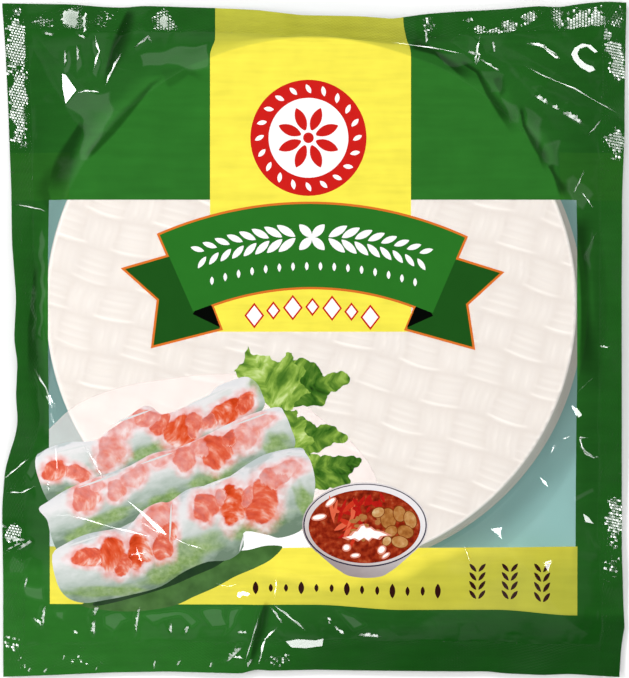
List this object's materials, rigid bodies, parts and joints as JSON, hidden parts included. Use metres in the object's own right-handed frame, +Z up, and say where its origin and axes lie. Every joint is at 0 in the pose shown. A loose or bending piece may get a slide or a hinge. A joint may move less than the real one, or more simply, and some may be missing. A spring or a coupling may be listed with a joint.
{
  "type": "pack of rice paper sheets",
  "caption": "Flat plastic pack, sealed on four sides, draped over a round stack of thin rice paper sheets that shows through its clear window.",
  "frame": {"origin": "under the middle of the pack, on the surface that it lies on", "axes": "+Z up out of the front of the pack, +Y towards its top edge, +X to the right as its front is read"},
  "size_m": [0.2578, 0.2782, 0.0135],
  "materials": {
    "printed_film": "glossy printed film with a clear window",
    "back_film": "glossy printed film",
    "rice_paper": "dry translucent starch sheet with a woven bamboo imprint"
  },
  "bodies": {
    "root": {"front_film": "printed_film", "back_film": "back_film", "rice_paper_sheet_01": "rice_paper", "rice_paper_sheet_02": "rice_paper", "rice_paper_sheet_03": "rice_paper", "rice_paper_sheet_04": "rice_paper", "rice_paper_sheet_05": "rice_paper", "rice_paper_sheet_06": "rice_paper", "rice_paper_sheet_07": "rice_paper", "rice_paper_sheet_08": "rice_paper", "rice_paper_sheet_09": "rice_paper", "rice_paper_sheet_10": "rice_paper", "rice_paper_sheet_11": "rice_paper", "rice_paper_sheet_12": "rice_paper", "rice_paper_sheet_13": "rice_paper", "rice_paper_sheet_14": "rice_paper", "rice_paper_sheet_15": "rice_paper", "rice_paper_sheet_16": "rice_paper", "rice_paper_sheet_17": "rice_paper", "rice_paper_sheet_18": "rice_paper", "rice_paper_sheet_19": "rice_paper", "rice_paper_sheet_20": "rice_paper", "rice_paper_sheet_21": "rice_paper", "rice_paper_sheet_22": "rice_paper", "rice_paper_sheet_23": "rice_paper", "rice_paper_sheet_24": "rice_paper", "rice_paper_sheet_25": "rice_paper", "rice_paper_sheet_26": "rice_paper", "rice_paper_sheet_27": "rice_paper", "rice_paper_sheet_28": "rice_paper", "rice_paper_sheet_29": "rice_paper", "rice_paper_sheet_30": "rice_paper"}
  },
  "joints": []
}
